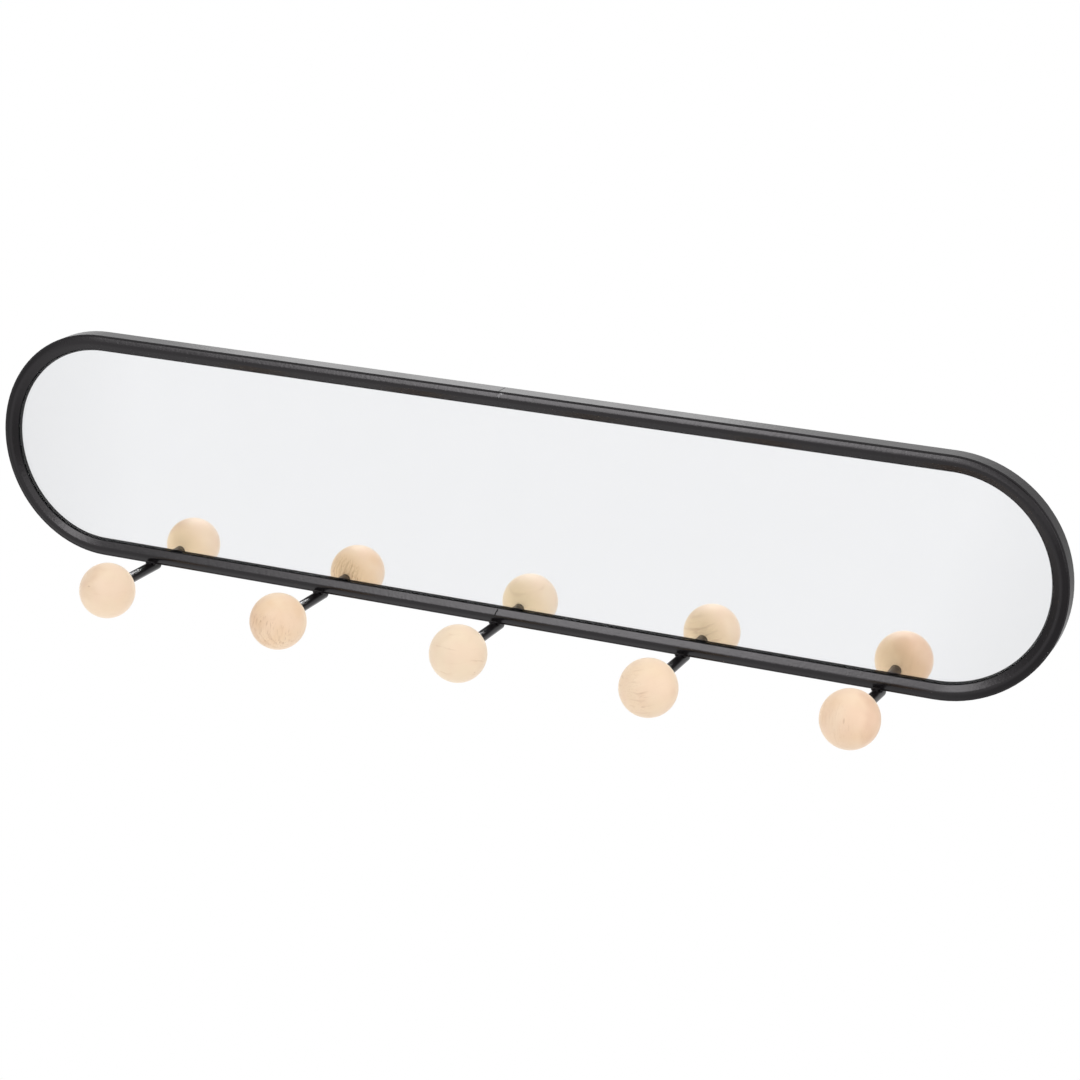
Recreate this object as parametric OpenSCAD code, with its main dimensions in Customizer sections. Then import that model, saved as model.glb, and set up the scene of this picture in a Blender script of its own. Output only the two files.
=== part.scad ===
// Long wall mirror with round ends, and five ball hooks welded under its frame.
// Units are millimetres. Every piece is drawn lying on its back, as on a welding bench:
// X runs along the mirror, Y runs up the wall and Z is the distance from the wall.
// hang() then stands it up: X to the right, Y into the wall, Z up, and the origin
// midway between the two keyholes on the wall.

/* [Frame] */
// Overall length of the frame
frame_length = 800; // [780:5:1000]
// Overall height of the frame
frame_height = 167; // [150:1:180]
// Depth of the flat steel strip that runs round the outside
strip_depth = 12; // [12:0.5:16]
// Thickness of that strip
strip_thickness = 1.2; // [1:0.1:1.6]
// Width of the ridged bar that covers the edge of the glass
bar_width = 10; // [9.5:0.1:10.5]
// Thickness of the bar at its ridge
bar_height = 3.3; // [3.1:0.1:3.6]
// Distance of the ridge from the bar's outer edge
ridge_place = 3.9; // [3.7:0.1:4.5]
// Radius of the rounded ridge
ridge_radius = 4.5; // [3:0.1:4.6]
// Thickness of the bar at its outer edge, beside the strip
bar_outer_edge = 1.95; // [1.8:0.05:2.1]
// Thickness of the bar at its inner edge, over the glass
bar_inner_edge = 0.65; // [0.6:0.05:0.8]
// Radius on the bar's outer front edge
outer_edge_radius = 0.5; // [0.3:0.1:0.8]
// Radius on the bar's inner front edge
inner_edge_radius = 0.9; // [0.5:0.1:0.9]
// Depth of the bar's flat back below the front edge of the strip
bar_recess = 1.5; // [1.4:0.1:1.6]

/* [Mirror and back] */
// Thickness of the glass
glass_thickness = 3; // [2:0.5:3]
// Thickness of the board behind the glass
board_thickness = 3; // [2.5:0.5:3]
// Gap between the strip and the edge of the glass and board
edge_gap = 1; // [0.8:0.1:1.5]

/* [Hooks] */
// Distance from one hook to the next
hook_pitch = 139; // [125:1:145]
// Distance from the front edge of the strip to the middle of a ball
hook_reach = 57.5; // [50:0.5:65]
// Diameter of a hook rod
rod_diameter = 8; // [7:0.5:8.5]
// Diameter of a wooden ball
ball_diameter = 40; // [36:1:46]
// Upward lean of the hook on the far right, in degrees
right_hook_lean = 3.4; // [0:0.1:4]

/* [Hanging] */
// Distance between the two keyholes
keyhole_spacing = 440; // [400:10:460]
// Height of the keyholes above the middle of the frame
keyhole_rise = 66; // [62:1:67]
// Diameter of the round part of a keyhole
keyhole_entry = 9; // [8:0.5:9]
// Width of the slot above it
keyhole_slot = 4.6; // [4:0.1:5]

/* [Hidden] */
$fn = 96;
end_radius = frame_height / 2;
straight = frame_length - frame_height;
// the widest thing drawn, so that cutting blocks reach right across
reach_all = 2 * frame_length;

// levels in front of the wall, from the bar back to the lugs
bar_back = strip_depth - bar_recess;
glass_back = bar_back - glass_thickness;
coating_thickness = 0.2;
coating_back = glass_back - coating_thickness;
foam_thickness = 0.8;
foam_back = coating_back - foam_thickness;
board_back = foam_back - board_thickness;
lug_thickness = 1.2;
lug_back = board_back - lug_thickness;

// the bar stands a hair off the strip it is welded to
bar_inset = strip_thickness + 0.05;
seam_width = 0.6;
seam_sunk = 0.15;
glass_inset = strip_thickness + edge_gap;
glass_arris = 0.4;

// lugs and their screws
lug_width = 12;
lug_length = 15;
lug_hole_inset = 10;
lug_hole = 3.4;
screw_shank = 2.9;
screw_bite = 2.4;
screw_head = 5.8;
screw_head_height = 1.7;
driver_slot_length = 3;
driver_slot_width = 0.7;
driver_slot_depth = 1;
lugs_on_top = [-300, -100, 100, 300];
lugs_on_bottom = [-208, -70, 70, 208];

// hanger plates
plate_width = 42;
plate_thickness = 1.2;
plate_corner = 4;
plate_below_keyhole = 9;
keyhole_travel = 8;
pocket_width = 24;
pocket_depth = 1.5;

// foam strips
foam_width = 12;
foam_rows = 45;
long_foam = 560;
short_foam = 60;
short_foam_x = 340;

// hooks
rod_radius = rod_diameter / 2;
rod_axis = -end_radius - rod_radius - 0.03;
rod_tail_gap = 0.5;
rod_tail_radius = 1.4;
spigot_diameter = 5.8;
spigot_length = 13;
socket_depth = 14;
shoulder_depth = 1.6;
ball_level = strip_depth + hook_reach;
ball_radius = ball_diameter / 2;
// where the rod's full thickness ends, inside the back of the ball
shoulder_level = ball_level - sqrt(pow(ball_radius, 2) - pow(rod_radius, 2)) + shoulder_depth;
weld_radius = 1.35;
weld_out = 3.1;
weld_down = 1.1;

// ---------- shapes shared by several pieces ----------

// the frame's outline, moved inwards by a given distance
module outline(inset) {
    radius = end_radius - inset;
    square([straight, 2 * radius], center = true);
    for (side = [-1, 1])
        translate([side * straight / 2, 0]) circle(radius);
}

module slab(inset, low, high) {
    translate([0, 0, low]) linear_extrude(high - low) outline(inset);
}

// everything to one side of the butt seams in the middle of the long rails
module half_space(side) {
    translate([side * (reach_all + seam_width) / 2, 0, 0])
        cube([reach_all, reach_all, reach_all], center = true);
}

// slope of the straight flank that runs up from an edge of the bar and touches the round ridge
function flank_slope(across, edge) =
    atan2(bar_height - ridge_radius - edge, across)
        + asin(ridge_radius / norm([across, bar_height - ridge_radius - edge]));

// middle of a rounded corner whose radius touches the bar's upright side and its flank:
// how far in from the side it is, and how high
function corner_middle(radius, slope, edge) =
    [radius, edge + radius * tan(slope) - radius / cos(slope)];

// the part of a circle beyond the chord between two of its points
module round_piece(middle, radius, from, to) {
    chord = (from + to) / 2 - middle;
    out = chord * radius / norm(chord);
    intersection() {
        translate(middle) circle(radius);
        polygon([from, to, to + out, from + out]);
    }
}

// section of the ridged bar: x from the outer edge inwards, y up from its flat back.
// Two straight flanks of unequal width run up to a round ridge
module bar_section(sunk = 0) {
    inwards = bar_width - ridge_place;
    outer_slope = flank_slope(ridge_place, bar_outer_edge);
    inner_slope = flank_slope(inwards, bar_inner_edge);
    ridge = [ridge_place, bar_height - ridge_radius];
    ridge_out = ridge + ridge_radius * [-sin(outer_slope), cos(outer_slope)];
    ridge_in = ridge + ridge_radius * [sin(inner_slope), cos(inner_slope)];
    outer = corner_middle(outer_edge_radius, outer_slope, bar_outer_edge);
    outer_side = [0, outer[1]];
    outer_flank = outer + outer_edge_radius * [-sin(outer_slope), cos(outer_slope)];
    nose = corner_middle(inner_edge_radius, inner_slope, bar_inner_edge);
    inner = [bar_width - nose[0], nose[1]];
    inner_side = [bar_width, inner[1]];
    inner_flank = inner + inner_edge_radius * [sin(inner_slope), cos(inner_slope)];
    translate([0, -sunk]) difference() {
        union() {
            polygon([[0, 0], [bar_width, 0], inner_side, inner_flank,
                ridge_in, ridge_out, outer_flank, outer_side]);
            round_piece(ridge, ridge_radius, ridge_out, ridge_in);
            round_piece(outer, outer_edge_radius, outer_side, outer_flank);
            round_piece(inner, inner_edge_radius, inner_flank, inner_side);
        }
        if (sunk > 0)
            translate([-1, -1]) square([bar_width + 2, 1 + sunk]);
    }
}

module placed_bar_section(sunk = 0) {
    translate([end_radius - bar_inset - bar_width, bar_back])
        translate([bar_width, 0]) mirror([1, 0]) bar_section(sunk);
}

// the bar's section drawn along one long rail
module bar_rail(side, from, to, sunk = 0) {
    mirror([0, side < 0 ? 1 : 0, 0]) translate([from, 0, 0])
        rotate([90, 0, 90]) linear_extrude(to - from) placed_bar_section(sunk);
}

// the bar's section drawn round one end
module bar_end(side) {
    mirror([side < 0 ? 1 : 0, 0, 0]) translate([straight / 2, 0, 0])
        rotate([0, 0, -90]) rotate_extrude(angle = 180) placed_bar_section();
}

module bezel_half(side) {
    bar_end(side);
    for (rail = [-1, 1])
        mirror([side < 0 ? 1 : 0, 0, 0]) bar_rail(rail, seam_width / 2, straight / 2);
}

module strip_half(side) {
    intersection() {
        difference() {
            slab(0, 0, strip_depth);
            slab(strip_thickness, -1, strip_depth + 1);
        }
        half_space(side);
    }
}

// places its children at every lug: x along the rail, y inwards from the outer edge
module at_lugs() {
    for (x = lugs_on_top)
        translate([x, end_radius, 0]) mirror([0, 1, 0]) children();
    for (x = lugs_on_bottom)
        translate([x, -end_radius, 0]) children();
    for (side = [-1, 1])
        translate([side * frame_length / 2, 0, 0]) rotate([0, 0, side * 90]) children();
}

module at_keyholes() {
    for (side = [-1, 1])
        translate([side * keyhole_spacing / 2, keyhole_rise, 0]) children();
}

// stands a finished piece up on the wall
module hang() {
    translate([0, 0, -keyhole_rise]) rotate([90, 0, 0]) children();
}

// a point on the wall's side of a hook, in the middle of its rod
module at_hook(number) {
    translate([(number - 3) * hook_pitch, rod_axis, 0]) children();
}

// leans a hook upwards about the place where it meets the strip's front edge
module leaned(number) {
    lean = number == 5 ? right_hook_lean : 0;
    translate([0, rod_radius, strip_depth]) rotate([-lean, 0, 0])
        translate([0, -rod_radius, -strip_depth]) children();
}

// ---------- frame ----------

module strip_left() {
    color([0.06, 0.06, 0.06]) hang() strip_half(-1);
}

module strip_right() {
    color([0.06, 0.06, 0.06]) hang() strip_half(1);
}

module bezel_left() {
    color([0.08, 0.08, 0.08]) hang() bezel_half(-1);
}

module bezel_right() {
    color([0.08, 0.08, 0.08]) hang() bezel_half(1);
}

// the four butt welds, ground a little below the metal beside them
module seam_welds() {
    color([0.1, 0.1, 0.1]) hang() for (rail = [-1, 1]) {
        bar_rail(rail, -seam_width / 2, seam_width / 2, seam_sunk);
        mirror([0, rail < 0 ? 1 : 0, 0])
            translate([-seam_width / 2, end_radius - strip_thickness, 0])
                cube([seam_width, strip_thickness - seam_sunk, strip_depth - seam_sunk]);
    }
}

// ---------- mirror and back ----------

// a pane with its sharp front and back edges taken off
module mirror_glass() {
    color([0.75, 0.85, 0.83]) hang() {
        slab(glass_inset + glass_arris, glass_back, bar_back);
        slab(glass_inset, glass_back + glass_arris, bar_back - glass_arris);
    }
}

module mirror_coating() {
    color([0.8, 0.8, 0.82])
        hang() slab(glass_inset + glass_arris, coating_back, glass_back);
}

module foam_strips() {
    color([0.92, 0.92, 0.9]) hang() translate([0, 0, foam_back]) {
        for (side = [-1, 1]) {
            translate([-long_foam / 2, side * foam_rows - foam_width / 2, 0])
                cube([long_foam, foam_width, foam_thickness]);
            translate([side * short_foam_x - foam_width / 2, -short_foam / 2, 0])
                cube([foam_width, short_foam, foam_thickness]);
        }
    }
}

// the board has a pilot hole under every lug and a pocket behind each keyhole
module backboard() {
    color([0.62, 0.47, 0.33]) hang() difference() {
        slab(glass_inset, board_back, foam_back);
        at_lugs() translate([0, lug_hole_inset, board_back - 1])
            cylinder(h = 1 + screw_bite + 0.1, d = screw_shank + 0.1);
        at_keyholes() translate([-pocket_width / 2, -pocket_width / 2 + keyhole_travel / 2,
            board_back - 1]) cube([pocket_width, pocket_width, 1 + pocket_depth]);
    }
}

module lug_blank() {
    difference() {
        union() {
            translate([-lug_width / 2, 0, lug_back])
                cube([lug_width, lug_length - lug_width / 2, lug_thickness]);
            translate([0, lug_length - lug_width / 2, lug_back])
                cylinder(h = lug_thickness, d = lug_width);
        }
        translate([0, lug_hole_inset, lug_back - 1])
            cylinder(h = lug_thickness + 2, d = lug_hole);
    }
}

module clamp_lugs() {
    color([0.07, 0.07, 0.07]) hang() intersection() {
        at_lugs() lug_blank();
        slab(bar_inset, 0, strip_depth);
    }
}

// pan-head screws with a crossed driver recess
module lug_screws() {
    color([0.72, 0.72, 0.7]) hang() at_lugs() translate([0, lug_hole_inset, lug_back])
        difference() {
            union() {
                cylinder(h = lug_thickness + screw_bite, d = screw_shank);
                translate([0, 0, -screw_head_height])
                    cylinder(h = screw_head_height, d = screw_head);
            }
            for (turn = [0, 90]) rotate([0, 0, turn])
                translate([-driver_slot_length / 2, -driver_slot_width / 2,
                    -screw_head_height - 1])
                    cube([driver_slot_length, driver_slot_width, 1 + driver_slot_depth]);
        }
}

// ---------- hanging ----------

// plate drawn about the round part of its keyhole, up to the strip above it
module keyhole_plate() {
    top = end_radius - bar_inset - keyhole_rise;
    difference() {
        union() {
            translate([-plate_width / 2, plate_corner - plate_below_keyhole, 0])
                cube([plate_width, top + plate_below_keyhole - plate_corner,
                    plate_thickness]);
            for (side = [-1, 1])
                translate([side * (plate_width / 2 - plate_corner),
                    plate_corner - plate_below_keyhole, 0])
                    cylinder(h = plate_thickness, r = plate_corner);
            translate([-plate_width / 2 + plate_corner, -plate_below_keyhole, 0])
                cube([plate_width - 2 * plate_corner, plate_below_keyhole,
                    plate_thickness]);
        }
        translate([0, 0, -1]) {
            cylinder(h = plate_thickness + 2, d = keyhole_entry);
            translate([0, keyhole_travel, 0])
                cylinder(h = plate_thickness + 2, d = keyhole_slot);
            translate([-keyhole_slot / 2, 0, 0])
                cube([keyhole_slot, keyhole_travel, plate_thickness + 2]);
        }
    }
}

module keyhole_plate_left() {
    color([0.07, 0.07, 0.07]) hang()
        translate([-keyhole_spacing / 2, keyhole_rise, 0]) keyhole_plate();
}

module keyhole_plate_right() {
    color([0.07, 0.07, 0.07]) hang()
        translate([keyhole_spacing / 2, keyhole_rise, 0]) keyhole_plate();
}

// ---------- hooks ----------

// a rod with a rounded tail and a thinner spigot that screws into the ball
module rod() {
    tail = rod_tail_radius;
    rotate_extrude() difference() {
        union() {
            translate([0, rod_tail_gap]) square([rod_radius, shoulder_level - rod_tail_gap]);
            square_top = shoulder_level + spigot_length;
            translate([0, rod_tail_gap]) square([spigot_diameter / 2, square_top - rod_tail_gap]);
        }
        translate([rod_radius - tail, rod_tail_gap]) difference() {
            translate([0, -1]) square([tail + 1, tail + 1]);
            translate([0, tail]) circle(tail);
        }
    }
}

module ball() {
    difference() {
        translate([0, 0, ball_level]) sphere(ball_radius);
        translate([0, 0, ball_level - ball_radius - 1])
            cylinder(h = shoulder_level - ball_level + ball_radius + 1 + 0.1,
                r = rod_radius + 0.1);
        translate([0, 0, shoulder_level])
            cylinder(h = socket_depth, d = spigot_diameter + 0.1);
    }
}

module hook_rod(number) {
    color([0.05, 0.05, 0.05]) hang() at_hook(number) leaned(number) rod();
}

module wooden_ball(number) {
    color([0.9, 0.76, 0.6]) hang() at_hook(number) leaned(number) ball();
}

module rod_far_left() { hook_rod(1); }
module rod_mid_left() { hook_rod(2); }
module rod_centre() { hook_rod(3); }
module rod_mid_right() { hook_rod(4); }
module rod_far_right() { hook_rod(5); }

module ball_far_left() { wooden_ball(1); }
module ball_mid_left() { wooden_ball(2); }
module ball_centre() { wooden_ball(3); }
module ball_mid_right() { wooden_ball(4); }
module ball_far_right() { wooden_ball(5); }

// ---------- welds ----------

// a bead on each side of every rod, in the corner under the strip
module hook_welds() {
    length = strip_depth - 2;
    color([0.06, 0.06, 0.06]) hang() for (number = [1 : 5], side = [-1, 1])
        difference() {
            translate([(number - 3) * hook_pitch + side * weld_out,
                -end_radius - weld_down, 1]) cylinder(h = length, r = weld_radius);
            translate([(number - 3) * hook_pitch - 10, -end_radius, 0])
                cube([20, 10, strip_depth]);
            at_hook(number) leaned(number)
                translate([0, 0, -1]) cylinder(h = strip_depth + 4, r = rod_radius);
        }
}

// a short bead where each lug meets the strip
module lug_welds() {
    length = lug_width - 4;
    color([0.06, 0.06, 0.06]) hang() intersection() {
        at_lugs() translate([-length / 2, bar_inset + 0.3, lug_back])
            difference() {
                rotate([0, 90, 0]) cylinder(h = length, r = 1);
                translate([-1, -2, 0]) cube([length + 2, 4, 2]);
            }
        slab(bar_inset, 0, strip_depth);
    }
}

// a bead along the top of each keyhole plate, on the side away from the wall
module hanger_welds() {
    length = plate_width - 6;
    color([0.06, 0.06, 0.06]) hang() intersection() {
        at_keyholes()
            translate([-length / 2, end_radius - bar_inset - keyhole_rise - 0.3,
                plate_thickness]) difference() {
                rotate([0, 90, 0]) cylinder(h = length, r = 1);
                translate([-1, -2, -2]) cube([length + 2, 4, 2]);
            }
        slab(bar_inset, 0, strip_depth);
    }
}

// ---------- parts ----------

strip_left();
strip_right();
bezel_left();
bezel_right();
seam_welds();
mirror_glass();
mirror_coating();
foam_strips();
backboard();
clamp_lugs();
lug_screws();
lug_welds();
keyhole_plate_left();
keyhole_plate_right();
hanger_welds();
rod_far_left();
rod_mid_left();
rod_centre();
rod_mid_right();
rod_far_right();
ball_far_left();
ball_mid_left();
ball_centre();
ball_mid_right();
ball_far_right();
hook_welds();
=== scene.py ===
import math

import bpy
from mathutils import Matrix, Vector


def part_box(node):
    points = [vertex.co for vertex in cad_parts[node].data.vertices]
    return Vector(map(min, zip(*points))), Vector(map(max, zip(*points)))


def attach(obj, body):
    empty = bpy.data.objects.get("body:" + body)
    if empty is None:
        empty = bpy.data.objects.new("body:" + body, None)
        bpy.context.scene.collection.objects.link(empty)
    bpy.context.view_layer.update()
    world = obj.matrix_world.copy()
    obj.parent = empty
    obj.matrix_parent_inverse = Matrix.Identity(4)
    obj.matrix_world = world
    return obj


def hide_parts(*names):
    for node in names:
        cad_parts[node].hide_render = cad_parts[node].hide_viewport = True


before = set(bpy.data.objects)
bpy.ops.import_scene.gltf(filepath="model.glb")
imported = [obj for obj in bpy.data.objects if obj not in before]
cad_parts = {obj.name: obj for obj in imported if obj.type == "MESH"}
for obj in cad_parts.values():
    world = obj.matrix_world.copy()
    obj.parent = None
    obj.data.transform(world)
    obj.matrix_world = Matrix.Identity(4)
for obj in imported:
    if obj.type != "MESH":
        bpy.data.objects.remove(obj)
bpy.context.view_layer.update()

MM = 0.001

# The frame's own sizes, as the part's source has them
FRAME_LENGTH = 800 * MM
FRAME_HEIGHT = 167 * MM
STRIP_DEPTH = 12 * MM
KEYHOLE_RISE = 66 * MM
KEYHOLE_SPACING = 440 * MM
PLATE_WIDTH = 42 * MM
PLATE_THICKNESS = 1.2 * MM

# Section of the ridged bar, from its outer edge inwards and from its flat back up
BAR_WIDTH = 10 * MM
BAR_HEIGHT = 3.3 * MM
RIDGE_PLACE = 3.9 * MM
RIDGE_RADIUS = 4.5 * MM
BAR_OUTER_EDGE = 1.95 * MM
BAR_INNER_EDGE = 0.65 * MM
OUTER_EDGE_RADIUS = 0.5 * MM
INNER_EDGE_RADIUS = 0.9 * MM
NOSE_WIDTH = 0.50 * MM
# NOSE_HEIGHT is how far up the nose the near-black painted shade reaches
NOSE_HEIGHT = 0.92 * MM
# How far in from the strip's outside and how far off the wall the bar lies. Its seam is painted nearly shut
BAR_INSET = 1.25 * MM
BAR_BACK = 10.5 * MM
SEAM_WIDTH = 0.06 * MM
BAR_END_POINTS = 56
RIDGE_STEPS, OUTER_EDGE_STEPS, INNER_EDGE_STEPS = 20, 6, 8

GLASS_INSET = 2.2 * MM
GLASS_ARRIS = 0.4 * MM
GLASS_BACK = 7.5 * MM
COATING_BACK = 7.3 * MM
COATING_GAP = 0.03 * MM
# How far past the bar's lip the near-black painted shade reaches on the silver
SHADE_BEYOND_BAR = 1.1 * MM
SHEET_END_STEPS = 96

HOOKS = ("far_left", "mid_left", "centre", "mid_right", "far_right")
HOOK_PITCH = 139 * MM
BALL_RADIUS = 20 * MM

LUG_BACK = 2.3 * MM
LUG_WIDTH = 12 * MM
LUG_HOLE_INSET = 10 * MM
LUGS_ON_TOP = (-300 * MM, -100 * MM, 100 * MM, 300 * MM)
LUGS_ON_BOTTOM = (-208 * MM, -70 * MM, 70 * MM, 208 * MM)
SCREW_HEAD_RADIUS = 2.9 * MM
SCREW_HEAD_HEIGHT = 1.7 * MM
SCREW_SHANK_RADIUS = 1.45 * MM
SCREW_REACH = 3.6 * MM
# The head's edge is flat up to this share of its height, and the rest is a dome
SCREW_HEAD_EDGE = 0.38
SCREW_RECESS = dict(Slot_Length=3 * MM, Slot_Width=0.7 * MM, Slot_Depth=0.9 * MM)
SCREW_TURNING_PATH = 2 * MM
SCREW_SEED = 11

# Where the weld runs lie: beside and under each rod, along each lug and along each hanger plate
ROD_BEAD_BESIDE = 3.1 * MM
ROD_BEAD_DROP = 1.05 * MM
ROD_BEAD_ENDS = (1.2 * MM, STRIP_DEPTH - 1.1 * MM)
LUG_BEAD_REACH = LUG_WIDTH / 2 - 2 * MM
PLATE_BEAD_REACH = PLATE_WIDTH / 2 - 3 * MM
BEAD_OFF_STRIP = 0.35 * MM
BEAD_STEP = 0.16 * MM
# Thickness of a bead between its ripples and at its very tips, as a share of its radius
BEAD_BASE, BEAD_TIP = 0.86, 0.02
BEAD_WANDER = 0.12
BEAD_WANDER_SCALE = 520.0
BEAD_LOOKS = {
    "hook": dict(Bead_Radius=1.3 * MM, Ripple_Pitch=1.1 * MM, Ripple_Depth=0.10, Taper=1.3 * MM, Seed=3.0),
    "lug": dict(Bead_Radius=1.0 * MM, Ripple_Pitch=1.0 * MM, Ripple_Depth=0.10, Taper=1.2 * MM, Seed=5.0),
    "hanger": dict(Bead_Radius=1.0 * MM, Ripple_Pitch=1.2 * MM, Ripple_Depth=0.12, Taper=1.2 * MM, Seed=7.0),
}

# The photograph's view: 23 degrees to the right of the mirror and 18 above it
VIEW_AZIMUTH, VIEW_ELEVATION, VIEW_ROLL = (math.radians(a) for a in (23.05, 18.012, 1.655))
VIEW_BACK = Vector((math.sin(VIEW_AZIMUTH) * math.cos(VIEW_ELEVATION),
                    -math.cos(VIEW_AZIMUTH) * math.cos(VIEW_ELEVATION), math.sin(VIEW_ELEVATION)))
VIEW_RIGHT = Vector((math.cos(VIEW_AZIMUTH), math.sin(VIEW_AZIMUTH), 0))
VIEW_UP = VIEW_BACK.cross(VIEW_RIGHT)
# The camera is this far to its own right, up and back from the middle of the strip's front edge
CAMERA_AWAY = (0.03030, -0.02166, 1.90768)
CAMERA_LENS = 92.35
CAMERA_SENSOR = 36.0

# How much of the room's light comes from the right, from behind and from above, and from their opposites
LIT_FROM_PLUS = (0.27, 1.10, 0.20)
LIT_FROM_MINUS = (-0.73, -0.755, -0.72)
# What gloss and the mirror see falls off on the left and on the right: from, to, and the level at each
DIM_LEFT = (-0.97, -0.55, 0.30, 0.93)
DIM_RIGHT = (-0.15, 0.30, 1.0, 0.50)
FLOOR_LEVEL = -1.2
FLOOR_RADIUS = 30

# Lamps. A glow of 1 is paper white, and those with lights=False are seen only in gloss and in the mirror
MIRROR_MIDDLE = (0.0, 0.0, -KEYHOLE_RISE)
KEY_PLACE = (-0.82, -2.0, 1.27)
KEY_AIM = (-0.1, 0.0, -0.1)
KEY_SIZE = (0.82, 1.55)
SOFTBOXES = {
    "key softbox": dict(place=KEY_PLACE, aim=KEY_AIM, size=KEY_SIZE, glow=4.2, lights=False),
    "wide softbox over the key": dict(
        place=(-0.90, -2.0, 1.95), aim=KEY_AIM, size=(2.1, 1.1), glow=1.8, lights=False),
    "spill beside the key": dict(
        place=(0.12, -2.0, 0.66), aim=(0.0, 0.0, -0.1), size=(0.7, 1.3), glow=1.1, lights=False),
    "right softbox": dict(place=(1.9, -0.3, 0.7), aim=MIRROR_MIDDLE, size=(1.6, 1.6), glow=2.15),
    "top softbox": dict(place=(0.0, 0.2, 1.6), aim=MIRROR_MIDDLE, size=(2.2, 1.6), glow=1.03),
    "back softbox": dict(place=(-0.97, 2.1, 0.80), aim=(0.0, 0.0, 0.0), size=(0.85, 1.0), glow=0.85),
}
# The soft light that the mirror throws forward, from just in front of the strip
MIRROR_BOUNCE = dict(
    place=(0.0, -STRIP_DEPTH - 1 * MM, -KEYHOLE_RISE), aim=(0.0, -1.0, -KEYHOLE_RISE),
    size=(FRAME_LENGTH - 40 * MM, FRAME_HEIGHT - 26 * MM), glow=0.25)
# The key's image stands as far behind the glass's back as the key is in front of it
KEY_IMAGE = dict(
    place=(KEY_PLACE[0], -2 * GLASS_BACK - KEY_PLACE[1], KEY_PLACE[2]), aim=KEY_AIM, size=KEY_SIZE, glow=4.9)
FAR_WINDOW = dict(place=(1.08, -2.0, 0.70), aim=(0.35, 0.0, 0.0), size=(1.3, 1.3), glow=0.6, lights=False)

COAT_BLACK = (0.0036, 0.0027, 0.0034)
COAT_GROUND = (0.36, 0.36, 0.37)
# Pale spots where the seam on the top rail was ground: middle, squeeze along each axis, strength
GROUND_SPOTS = (((2.2 * MM, 0, 16.4 * MM), (0.8, 0, 1.5), 1.0),
                ((0.5 * MM, 0, 14.5 * MM), (1.2, 0, 1.1), 0.3))
# The crack over the bottom seam: a point on it, its lean, where its ends fade, and where its sides do
CRACK_X, CRACK_Z = 2.0 * MM, -141.5 * MM
CRACK_LEAN = 0.35
CRACK_FOOT = (-144.2 * MM, -143.4 * MM)
CRACK_HEAD = (-139.0 * MM, -139.3 * MM)
CRACK_EDGE = (0.62 * MM, 0.38 * MM)

BEECH_PALE = (0.890, 0.705, 0.520)
BEECH_TAN = (0.845, 0.620, 0.418)
BEECH_ROSE = (0.875, 0.655, 0.492)
# Darker, warmer tone painted onto the balls' backs as shade
BEECH_BACK_SHADE = (0.880, 0.695, 0.460)
BEECH_STREAK = (0.76, 0.53, 0.34)
BEECH_RING = (0.62, 0.42, 0.27)
BEECH_PORE = (0.46, 0.26, 0.15)
BEECH_DEEP = (0.88, 0.82, 0.79)

# What shows on each ball, told as the photograph shows it: to the right, up and towards the viewer.
# rays is the way from the pith outwards, grain the log's axis and pith how far off the middle of the log is.
# pitch is the rings' spacing, rings and pores are how strong they are, and warm how tan the ground is.
# toward is the side with the most figure, figured its strength on the back, and mark one dark pore in front.
# front and back tint those sides: the back, which faces the mirror, is made darker and warmer as painted
# shade. deep is the deeper side, the more so the longer it is.
BALL_LOOKS = {
    "far_left": dict(
        rays=(0.6, 0.8, 0.3), grain=(1.0, -0.1, 0.2), pith=60 * MM, pitch=8 * MM, rings=0.10, pores=0.05,
        warm=0.35, toward=(0.0, 0.0), figured=0.5, mark=(-11 * MM, 3 * MM),
        front=(1.03, 1.035, 1.04), back=(1.0, 0.98, 0.94), deep=(-0.45, 0.3)),
    "mid_left": dict(
        rays=(0.6, 0.1, 0.8), grain=(0.10, 1.0, 0.35), pith=26 * MM, pitch=3.2 * MM, rings=0.36, pores=0.50,
        warm=1.0, toward=(-0.35, -0.95), figured=1.6, mark=(-6 * MM, -1 * MM),
        front=(1.025, 1.01, 0.99), back=(0.96, 0.90, 0.82), deep=(-0.55, -0.1)),
    "centre": dict(
        rays=(0.12, 1.0, 0.1), grain=(1.0, -0.15, 0.2), pith=60 * MM, pitch=8.5 * MM, rings=0.42, pores=0.02,
        warm=0.0, toward=(0.0, -0.2), figured=0.6, mark=(12 * MM, -12 * MM),
        front=(1.005, 1.025, 1.025), back=(0.98, 0.99, 0.96), deep=(0.0, 0.0)),
    "mid_right": dict(
        rays=(-0.20, 1.0, 0.2), grain=(1.0, 0.2, 0.1), pith=45 * MM, pitch=5.2 * MM, rings=0.32, pores=0.20,
        warm=0.4, toward=(-0.95, -0.35), figured=1.6, mark=(-4 * MM, -12 * MM),
        front=(1.01, 1.01, 1.005), back=(0.96, 0.95, 0.92), deep=(0.12, -0.25)),
    "far_right": dict(
        rays=(0.8, 0.1, 0.5), grain=(0.05, 1.0, 0.1), pith=60 * MM, pitch=7 * MM, rings=0.12, pores=0.12,
        warm=0.7, toward=(-0.5, -0.3), figured=1.5, mark=(-6 * MM, 0.0),
        front=(0.99, 0.955, 0.945), back=(0.93, 0.88, 0.83), deep=(1.0, 0.25)),
}

# A piece drawn lying on its back on the bench is hung on the wall by this turn
HANG = Matrix.Translation((0, 0, -KEYHOLE_RISE)) @ Matrix.Rotation(math.pi / 2, 4, "X")


# ---------- small helpers for node trees ----------

def add(tree, kind, values=None, **settings):
    """Adds a node. values are its inputs by name or number: a number, a colour or a socket to join."""
    made = tree.nodes.new(kind)
    for name, value in settings.items():
        setattr(made, name, value)
    for name, value in (values or {}).items():
        if isinstance(value, bpy.types.NodeSocket):
            tree.links.new(value, made.inputs[name])
        else:
            made.inputs[name].default_value = value
    return made


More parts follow.
